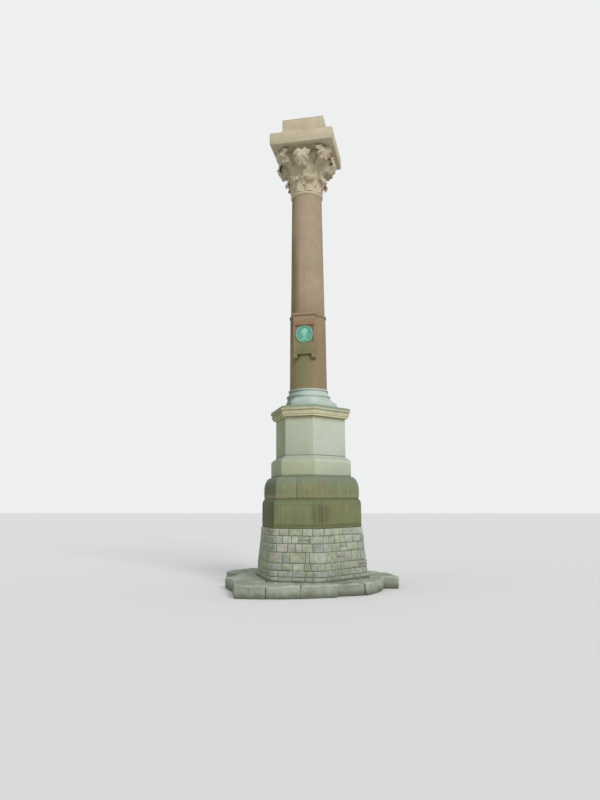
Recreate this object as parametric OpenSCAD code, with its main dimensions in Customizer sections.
// Memorial column: a stone step, a battered six-sided base of squared rubble, smooth
// six-sided courses and a die, and a round sandstone column with a tablet, a bronze
// roundel, a leaf capital and a square abacus.
// The column's axis is Z and the front faces -Y. Stones are placed by their azimuth,
// which is 0 at the front and grows towards +X. The six-sided plan has three short sides,
// facing 0, 120 and 240 degrees, and three long sides, which stand nearer to the axis.
// Each course is sized by the distance from the axis to its long sides. The tablet and the
// capital face a few degrees off the base's front.

/* [Plan] */
// How much further out the short sides stand than the long ones, in every course
short_side_out = 92; // [0:2:110]

/* [Step] */
// Height of the step's stones above the ground
step_h = 220; // [150:10:320]
// Width of the step between the base's long sides and its furthest regular stone
step_ledge = 690; // [500:10:900]

/* [Rubble base] */
// Distance to the long sides of the rubble base where it stands on its footing
foot_p = 901; // [870:1:960]
// Distance to the long sides of the rubble base at its top
rubble_top_p = 817; // [812:1:850]
// Height of the rubble base
rubble_h = 875; // [600:5:1200]

/* [Smooth courses] */
// Distance to the long sides of the plain course
plain_p = 788; // [765:1:810]
// Height of the plain course
plain_h = 505; // [300:5:700]
// Width of the rounded top edge of the plain course
plain_edge = 52; // [10:1:56]
// Distance to the long sides of the round-topped course where it is widest
round_p = 756; // [720:1:760]
// Height of the round-topped course
round_h = 400; // [250:10:600]
// Width of the rounded foot of the round-topped course
round_foot = 18; // [5:1:30]
// Distance to the long sides of the plinth band
band_p = 633; // [600:1:650]
// Height of the plinth band's upright face
band_h = 280; // [200:10:400]
// Height of the curved slope above the plinth band
band_slope_h = 100; // [60:5:160]

/* [Die and cornice] */
// Distance to the long sides of the die
die_p = 547; // [520:1:570]
// Height of the die
die_h = 710; // [500:10:1000]
// Distance to the long sides of the cornice
cornice_p = 639; // [610:1:670]
// Height of the cornice
cornice_h = 190; // [150:5:260]
// How far the cornice's lowest face stands out from the die
soffit_w = 50; // [30:1:60]

/* [Column] */
// Turn of the tablet and the capital towards +X, in degrees
column_turn = 5; // [0:1:12]
// Distance to the long sides of the column base's six-sided foot
base_foot_p = 420; // [400:1:500]
// Height of the column base's six-sided foot
base_foot_h = 95; // [40:5:110]
// Height of the whole column base
base_h = 360; // [320:5:450]
// Shaft radius where it stands on the column base
shaft_low_r = 355; // [335:1:375]
// Shaft radius just under the ring
shaft_ring_r = 342; // [330:1:350]
// Height of the lower drum
lower_drum_h = 1400; // [1200:10:1700]
// Shaft radius just above the ring
upper_low_r = 328; // [315:1:335]
// Shaft radius under the capital
upper_top_r = 296; // [270:1:310]
// Height of the upper drum
upper_drum_h = 2430; // [1500:10:3000]
// Height of the ring between the drums
ring_h = 50; // [30:5:80]
// How far the ring stands out from the shaft
ring_out = 14; // [5:1:30]

/* [Tablet] */
// Width of the tablet on the lower drum
tablet_w = 420; // [380:10:480]
// Height of the tablet up to the ring
tablet_h = 750; // [660:10:820]
// How far the tablet's face stands out from the foot of the shaft
tablet_out = 37; // [30:1:75]
// Side of the square recess in the tablet
recess_w = 350; // [344:2:360]
// Depth of the recess
recess_depth = 30; // [15:1:34]
// Distance from the ring down to the recess
recess_drop = 190; // [100:5:200]
// Radius of the bronze roundel
roundel_r = 165; // [130:1:168]
// Thickness of the roundel's plate
roundel_t = 10; // [6:1:14]
// Width of the roundel's rim
rim_w = 18; // [10:1:30]
// How far the rim stands out from the plate
rim_out = 12; // [6:1:20]
// How far the ring stands out from the tablet, which it crosses as a cap moulding
cap_out = 14; // [8:1:25]
// Width of a corbel under the tablet
corbel_w = 78; // [50:1:100]
// Height of a corbel
corbel_h = 84; // [60:1:120]

/* [Capital] */
// Height of the necking ring
neck_h = 70; // [40:5:100]
// How far the necking ring stands out from the shaft
neck_out = 22; // [10:1:40]
// Height of the capital from the necking ring to the abacus
bell_h = 860; // [700:10:1000]
// Radius of the bell at its lip
bell_r = 465; // [440:5:500]
// Side of the abacus
abacus_w = 1240; // [1100:10:1300]
// Height of the abacus
abacus_h = 250; // [180:10:320]
// Reach of the corner leaves from the column's axis
corner_leaf_reach = 670; // [640:5:720]
// How far the tips of the corner leaves hang down
corner_leaf_hang = 290; // [220:10:360]
// Reach of the side leaves from the column's axis
side_leaf_reach = 600; // [570:5:620]
// How far the tips of the side leaves hang down
side_leaf_hang = 370; // [220:10:400]
// Reach of the low leaves from the column's axis
low_leaf_reach = 430; // [410:5:450]
// How far the tips of the low leaves hang down
low_leaf_hang = 120; // [80:5:160]
// Thickness of the corner and side leaves
leaf_t = 58; // [40:1:62]
// Thickness of the low leaves
low_leaf_t = 34; // [24:1:38]
// Side of the block on the abacus
block_w = 820; // [700:10:1000]
// Height of the block on the abacus
block_h = 370; // [250:10:500]
// Height of the weathered cap over the block
weathering_h = 150; // [80:10:300]

/* [Hidden] */
$fn = 96;
SIDES = 6;
SIDE_TURN = 60;
SIDE_STEPS = 8;
ARC_STEPS = 6;
WIDE = 2;
PLAIN_STONES = 3;
PLAIN_JOINT = 30;
ROUND_STONES = 6;
ROUND_JOINT = 0;
LOW_LEAVES = 8;
// Share of the bell's height that the low leaves take
LOW_TIER = 0.36;
// Turn that one leaf of each tier takes at the bell
LOW_SHARE = 40;
TIER_SHARE = 43;

// Azimuths where the step's stones begin and end, side by side from the front
STEP_JOINT_ANGLES = [
    [-28, -14, -2, 12, 36],
    [36, 59, 79, 97],
    [97, 112, 128, 140],
    [140, 160, 180, 210],
    [210, 233, 256, 268],
    [268, 288, 307, 332]
];
// Azimuths that the stones' outer faces look towards
STEP_FACE_ANGLES = [
    [6, 14, 24, 27],
    [31, 74, 90],
    [120, 120, 120],
    [150, 175, 190],
    [222, 250, 262],
    [275, 307, 295]
];
// How far each stone's face is set back, as a share of the step's width
STEP_SETBACK_SHARES = [
    [0.11, 0.235, 0.365, 0.39],
    [0.51, 0.33, 0.35],
    [0.14, 0.02, 0.23],
    [0.2, 0.1, 0.2],
    [0.14, -0.45, 0.2],
    [0.25, 0.18, 0.225]
];
SIDE_NAMES = ["front", "front_right", "rear_right", "rear", "rear_left", "front_left"];

rubble_z = step_h;
plain_z = rubble_z + rubble_h;
round_z = plain_z + plain_h;
band_z = round_z + round_h;
die_z = band_z + band_h + band_slope_h;
cornice_z = die_z + die_h;
base_z = cornice_z + cornice_h;
drum_z = base_z + base_h;
ring_z = drum_z + lower_drum_h;
upper_z = ring_z + ring_h;
neck_z = upper_z + upper_drum_h;
bell_z = neck_z + neck_h;
abacus_z = bell_z + bell_h;
block_z = abacus_z + abacus_h;
tier_z = bell_z + bell_h * LOW_TIER;
weathering_z = block_z + block_h;

tablet_reach = shaft_low_r + tablet_out;
tablet_z = ring_z - tablet_h;
recess_top = ring_z - recess_drop;
recess_z = recess_top - recess_w;
roundel_z = recess_z + recess_w / 2;
recess_reach = tablet_reach - recess_depth;
plate_reach = recess_reach + roundel_t;
head_out = rim_out + 8;

STONE_GREY = [0.60, 0.62, 0.54];
RUBBLE_GREY = [0.50, 0.54, 0.45];
ALGAE_STONE = [0.47, 0.50, 0.36];
PALE_STONE = [0.70, 0.72, 0.62];
CREAM_STONE = [0.80, 0.77, 0.64];
BASE_STONE = [0.74, 0.77, 0.74];
RED_STONE = [0.62, 0.50, 0.38];
CAPITAL_STONE = [0.78, 0.70, 0.58];
BRONZE = [0.42, 0.70, 0.58];

// Point in plan at an azimuth and a distance from the axis
function ray(azimuth, r) = [r * sin(azimuth), -r * cos(azimuth)];

// Distance to side k of the six-sided plan, where p is the distance to its long sides
function side_reach(p, k) = p + (k % 2 == 0 ? short_side_out : 0);

// Corner of the six-sided plan between side k and the next
function corner(p, k) =
    let (along = (side_reach(p, k + 1) - side_reach(p, k) * cos(SIDE_TURN)) / sin(SIDE_TURN))
        ray(k * SIDE_TURN, side_reach(p, k)) + ray(k * SIDE_TURN + 90, along);

function outline(p) = [for (k = [0 : SIDES - 1]) corner(p, k)];

// Azimuth of the corner between side k and the next
function corner_azimuth(p, k) =
    k * SIDE_TURN + atan2(
        (side_reach(p, k + 1) - side_reach(p, k) * cos(SIDE_TURN)) / sin(SIDE_TURN),
        side_reach(p, k)
    );

// Points of an arc about a centre, as wide as rx and as high as ry
function arc(centre, rx, ry, from, to) = [
    for (i = [0 : ARC_STEPS])
        let (a = from + (to - from) * i / ARC_STEPS)
            [centre[0] + rx * cos(a), centre[1] + ry * sin(a)]
];

// Points of a double curve between two points, upright at both ends
function cyma(from, to) = [
    for (i = [0 : ARC_STEPS])
        let (t = i / ARC_STEPS)
            [from[0] + (to[0] - from[0]) * (1 - cos(180 * t)) / 2, from[1] + (to[1] - from[1]) * t]
];

// Closed solid through rings of equally many points, from the bottom up, all in triangles
module ringed(rings) {
    n = len(rings[0]);
    top = (len(rings) - 1) * n;
    low_centre = len(rings) * n;
    high_centre = low_centre + 1;
    polyhedron(
        points = concat(
            [for (r = rings) for (p = r) p],
            [[0, 0, rings[0][0][2]], [0, 0, rings[len(rings) - 1][0][2]]]
        ),
        faces = [
            for (j = [0 : n - 1])
                let (next = (j + 1) % n)
                    each concat(
                        [[j, next, low_centre], [top + next, top + j, high_centre]],
                        [for (i = [0 : len(rings) - 2])
                            each [[i * n + j, (i + 1) * n + j, (i + 1) * n + next],
                                [i * n + j, (i + 1) * n + next, i * n + next]]]
                    )
        ]
    );
}

// Six-sided block with upright sides
module six_sided(p, h) {
    linear_extrude(h) polygon(outline(p));
}

// Six-sided solid from a profile of long-side distance and height, from the bottom up
module moulded(profile) {
    ringed([for (s = profile) [for (c = outline(s[0])) [c[0], c[1], s[1]]]]);
}

// Part of a course between two joints
module between_joints(azimuth, turn, r, h) {
    linear_extrude(h)
        polygon([[0, 0], ray(azimuth, r), ray(azimuth + turn / 2, r), ray(azimuth + turn, r)]);
}

module footing() {
    color(RUBBLE_GREY) six_sided(foot_p, step_h);
}

// Point of the rubble base's foot at an azimuth
function foot_point(azimuth) =
    ray(azimuth, min([
        for (k = [0 : SIDES])
            let (facing = cos(azimuth - k * SIDE_TURN))
                if (facing > 0.5) side_reach(foot_p, k) / facing
    ]));

// One side of the step, with its stones' faces stepped in plan
module step_side(k) {
    joints = STEP_JOINT_ANGLES[k];
    last = joints[len(joints) - 1];
    color(STONE_GREY) linear_extrude(step_h)
        polygon(concat(
            [foot_point(joints[0])],
            [
                for (i = [0 : len(joints) - 2])
                    let (reach = foot_p + step_ledge * (1 - STEP_SETBACK_SHARES[k][i]))
                        for (a = [joints[i], joints[i + 1]]) ray(a, reach / cos(a - STEP_FACE_ANGLES[k][i]))
            ],
            [foot_point(last)],
            [
                for (j = [SIDES : -1 : -1])
                    let (a = corner_azimuth(foot_p, j))
                        if (a > joints[0] && a < last) corner(foot_p, j)
            ]
        ));
}

module rubble_base() {
    color(RUBBLE_GREY) translate([0, 0, rubble_z])
        moulded([[foot_p, 0], [rubble_top_p, rubble_h]]);
}

module plain_stone(i) {
    edge_h = plain_edge * 2.2;
    turn = 360 / PLAIN_STONES;
    color(ALGAE_STONE) translate([0, 0, plain_z]) intersection() {
        moulded(concat(
            [[plain_p, 0]],
            arc([plain_p - plain_edge, plain_h - edge_h], plain_edge, edge_h, 0, 90)
        ));
        between_joints(PLAIN_JOINT + i * turn, turn, WIDE * plain_p, plain_h);
    }
}

module round_stone(i) {
    turn = 360 / ROUND_STONES;
    widest_z = round_h * 0.17;
    crown_z = round_h * 0.4;
    top_p = band_p + 7;
    color(ALGAE_STONE) translate([0, 0, round_z]) intersection() {
        moulded(concat(
            arc([round_p - round_foot, widest_z], round_foot, widest_z, -90, 0),
            arc([top_p, crown_z], round_p - top_p, round_h - crown_z, 0, 90)
        ));
        between_joints(ROUND_JOINT + i * turn, turn, WIDE * round_p, round_h);
    }
}

module plinth_band() {
    color(PALE_STONE) translate([0, 0, band_z])
        moulded(concat([[band_p, 0]], cyma([band_p, band_h], [die_p, band_h + band_slope_h])));
}

module die() {
    color(PALE_STONE) translate([0, 0, die_z]) six_sided(die_p, die_h);
}

module cornice() {
    step_w = (cornice_p - die_p - soffit_w) / 2;
    groove = 5;
    low_h = cornice_h * 0.15;
    middle_z = cornice_h * 0.56;
    slope_z = cornice_h * 0.85;
    slope_w = 25;
    low_p = die_p + soffit_w;
    middle_p = low_p + step_w;
    color(CREAM_STONE) translate([0, 0, cornice_z])
        moulded([
            [low_p, 0],
            [low_p, low_h],
            [middle_p - groove, low_h + groove],
            [middle_p, low_h + 2 * groove],
            [middle_p, middle_z - groove],
            [middle_p - groove, middle_z],
            [cornice_p, middle_z + groove],
            [cornice_p, slope_z],
            [cornice_p - slope_w, cornice_h]
        ]);
}

// Foot of the column base, which turns from six-sided to round in a hollow curve
module base_foot(low_p, round_r, h) {
    ringed([
        for (i = [0 : ARC_STEPS])
            let (t = i / ARC_STEPS, round_share = 1 - pow(1 - t, 1.3))
                [for (k = [0 : SIDES - 1]) for (j = [0 : SIDE_STEPS - 1])
                    let (
                        side = corner(low_p, k) - corner(low_p, k - 1),
                        c = corner(low_p, k - 1) + side * j / SIDE_STEPS,
                        q = c * (1 + (round_r / norm(c) - 1) * round_share)
                    ) [q[0], q[1], h * t]]
    ]);
}

module column_base() {
    roll = 19;
    foot_in = 10;
    flare_r = shaft_low_r + 55;
    rolls_h = base_h * 0.42;
    flare_h = base_h - base_foot_h - rolls_h;
    low_roll_z = base_h - rolls_h + roll;
    high_roll_z = base_h - roll;
    color(BASE_STONE) translate([0, 0, base_z]) union() {
        six_sided(base_foot_p, base_foot_h);
        translate([0, 0, base_foot_h]) base_foot(base_foot_p - foot_in, flare_r - foot_in, flare_h);
        rotate_extrude() polygon(concat(
            [[0, base_h - rolls_h], [flare_r, base_h - rolls_h]],
            arc([flare_r - roll / 2, low_roll_z], roll, roll, -60, 90),
            cyma([flare_r - roll, low_roll_z + roll], [shaft_low_r + roll / 2, high_roll_z - roll]),
            arc([shaft_low_r + roll / 2, high_roll_z], roll, roll, -80, 90),
            [[0, base_h]]
        ));
    }
}

module lower_drum() {
    color(RED_STONE) translate([0, 0, drum_z])
        cylinder(h = lower_drum_h, r1 = shaft_low_r, r2 = shaft_ring_r);
}

// Turns a piece with the column
module with_column() {
    rotate([0, 0, column_turn]) children();
}

// Box in front of the axis, from just inside the shaft out to a reach
module front_box(w, reach, z, h) {
    back = 0.9 * sqrt(pow(shaft_ring_r, 2) - pow(w / 2, 2));
    translate([-w / 2, -reach, z]) cube([w, reach - back, h]);
}

module tablet() {
    color(RED_STONE) with_column() difference() {
        front_box(tablet_w, tablet_reach, tablet_z, tablet_h);
        lower_drum();
        translate([-recess_w / 2, -tablet_reach - recess_depth, recess_z])
            cube([recess_w, 2 * recess_depth, recess_w]);
    }
}

module tablet_cap() {
    color(RED_STONE) with_column() difference() {
        front_box(tablet_w + 2 * cap_out, tablet_reach + cap_out, ring_z, ring_h);
        ring_band();
    }
}

module corbel(side) {
    scroll_r = corbel_h * 0.45;
    centre = side * (tablet_w - corbel_w) / 2;
    color(RED_STONE) with_column() difference() {
        translate([centre + corbel_w / 2, 0, tablet_z]) rotate([0, -90, 0])
            linear_extrude(corbel_w) union() {
                translate([-corbel_h + scroll_r, -tablet_reach + scroll_r]) circle(r = scroll_r);
                polygon([
                    [0, -tablet_reach],
                    [0, 0],
                    [-corbel_h, 0],
                    [-corbel_h, -tablet_reach + scroll_r],
                    [-corbel_h + scroll_r, -tablet_reach]
                ]);
            }
        lower_drum();
    }
}

// Solid about the roundel's own axis, which faces as the tablet does
module at_roundel(reach) {
    with_column() translate([0, -reach, roundel_z]) rotate([90, 0, 0]) children();
}

module roundel_plate() {
    color(BRONZE) at_roundel(recess_reach) cylinder(h = roundel_t, r = roundel_r);
}

module roundel_rim() {
    color(BRONZE) at_roundel(plate_reach) rotate_extrude() polygon([
        [roundel_r - rim_w, 0],
        [roundel_r, 0],
        [roundel_r - rim_w * 0.2, rim_out],
        [roundel_r - rim_w * 0.7, rim_out]
    ]);
}

module roundel_head() {
    head_r = roundel_r * 0.46;
    brow_z = roundel_r * 0.14;
    neck_r = roundel_r * 0.3;
    bust_z = roundel_r * 0.5;
    bust_h = roundel_r * 0.42;
    color(BRONZE) at_roundel(plate_reach) intersection() {
        union() {
            translate([0, brow_z, 0]) scale([head_r, head_r * 1.22, head_out]) sphere(r = 1, $fn = 40);
            translate([0, -bust_z, 0]) scale([neck_r, bust_h, head_out * 0.6])
                sphere(r = 1, $fn = 32);
        }
        cylinder(h = head_out + 1, r = roundel_r - rim_w);
    }
}

module ring_band() {
    half = ring_h / 2;
    color(RED_STONE) translate([0, 0, ring_z]) rotate_extrude() polygon([
        [0, 0],
        [shaft_ring_r, 0],
        [shaft_ring_r + ring_out, half / 2],
        [shaft_ring_r + ring_out, half + half / 2],
        [upper_low_r, ring_h],
        [0, ring_h]
    ]);
}

module upper_drum() {
    color(RED_STONE) translate([0, 0, upper_z])
        cylinder(h = upper_drum_h, r1 = upper_low_r, r2 = upper_top_r);
}

module necking_ring() {
    color(CAPITAL_STONE) translate([0, 0, neck_z]) rotate_extrude() polygon(concat(
        [[0, 0], [upper_top_r, 0]],
        arc([upper_top_r, neck_h / 2], neck_out, neck_h * 0.45, -90, 90),
        [[upper_top_r, neck_h], [0, neck_h]]
    ));
}

// Bell of the capital, straight and slender below and flaring to its lip
module bell_solid() {
    lip_h = 45;
    lip_out = 30;
    low_r = upper_top_r - 12;
    translate([0, 0, bell_z]) rotate_extrude() polygon(concat(
        [[0, 0], [low_r, 0]],
        [
            for (t = [0.1 : 0.1 : 1])
                [low_r + (bell_r - lip_out - low_r) * pow(t, 2.2), (bell_h - lip_h) * t]
        ],
        [[bell_r, bell_h - lip_h], [bell_r, bell_h], [0, bell_h]]
    ));
}

module bell() {
    color(CAPITAL_STONE) bell_solid();
}

// Leaf seen from its side, from its root on the bell over its crown to its hanging tip
module leaf_profile(reach, low, high, thick, hang) {
    roll_r = thick * 1.1;
    root_r = upper_top_r + thick * 0.5;
    tip_x = reach - roll_r * 1.1;
    tip_z = high - hang + roll_r;
    polygon(concat(
        [[0, low], [root_r, low], [root_r + thick * 0.2, (low + tip_z) / 2]],
        [for (a = [-160 : 40 : 0]) [tip_x + roll_r * cos(a), tip_z + roll_r * sin(a)]],
        [for (a = [0 : 30 : 120]) [reach - roll_r + roll_r * cos(a), high - roll_r + roll_r * sin(a)]],
        [[0, high - roll_r * 1.5]]
    ));
}

// Leaf on the bell at an azimuth, as wide as its share of the turn leaves it at the bell
module leaf(azimuth, reach, low, high, thick, hang, share) {
    w = 2 * upper_top_r * tan(share / 2);
    difference() {
        with_column() rotate([0, 0, azimuth - 90]) intersection() {
            translate([0, w, 0]) rotate([90, 0, 0]) linear_extrude(2 * w)
                leaf_profile(reach, low, high, thick, hang);
            linear_extrude(high + thick) polygon([
                [0, 0],
                [upper_top_r, -w / 2],
                [reach * 0.85, -w * 0.62],
                [reach + thick, -w * 0.4],
                [reach + thick, w * 0.4],
                [reach * 0.85, w * 0.62],
                [upper_top_r, w / 2]
            ]);
        }
        bell_solid();
    }
}

module low_leaves() {
    turn = 360 / LOW_LEAVES;
    color(CAPITAL_STONE) for (i = [0 : LOW_LEAVES - 1])
        leaf((i + 0.5) * turn, low_leaf_reach, bell_z, tier_z, low_leaf_t, low_leaf_hang, LOW_SHARE);
}

module side_leaf(i) {
    color(CAPITAL_STONE)
        leaf(i * 90, side_leaf_reach, tier_z, abacus_z - leaf_t, leaf_t, side_leaf_hang, TIER_SHARE);
}

module corner_leaf(i) {
    color(CAPITAL_STONE)
        leaf(i * 90 + 45, corner_leaf_reach, tier_z, abacus_z, leaf_t, corner_leaf_hang, TIER_SHARE);
}

// Square slab about the axis
module square_slab(w, z, h) {
    with_column() translate([-w / 2, -w / 2, z]) cube([w, w, h]);
}

module abacus() {
    color(CAPITAL_STONE) square_slab(abacus_w, abacus_z, abacus_h);
}

module abacus_block() {
    color(CAPITAL_STONE) square_slab(block_w, block_z, block_h);
}

module weathering() {
    color(CAPITAL_STONE) translate([0, 0, weathering_z]) rotate([0, 0, 45 + column_turn])
        cylinder(h = weathering_h, r1 = block_w / sqrt(2), r2 = block_w * 0.2, $fn = 4);
}

footing();
for (i = [0 : len(SIDE_NAMES) - 1])
    step_side(i);
rubble_base();
for (i = [0 : PLAIN_STONES - 1])
    plain_stone(i);
for (i = [0 : ROUND_STONES - 1])
    round_stone(i);
plinth_band();
die();
cornice();
column_base();
lower_drum();
tablet();
tablet_cap();
corbel(-1);  // left_corbel
corbel(1);  // right_corbel
roundel_plate();
roundel_rim();
roundel_head();
ring_band();
upper_drum();
necking_ring();
bell();
low_leaves();
for (i = [0 : 3])
    side_leaf(i);
for (i = [0 : 3])
    corner_leaf(i);
abacus();
abacus_block();
weathering();
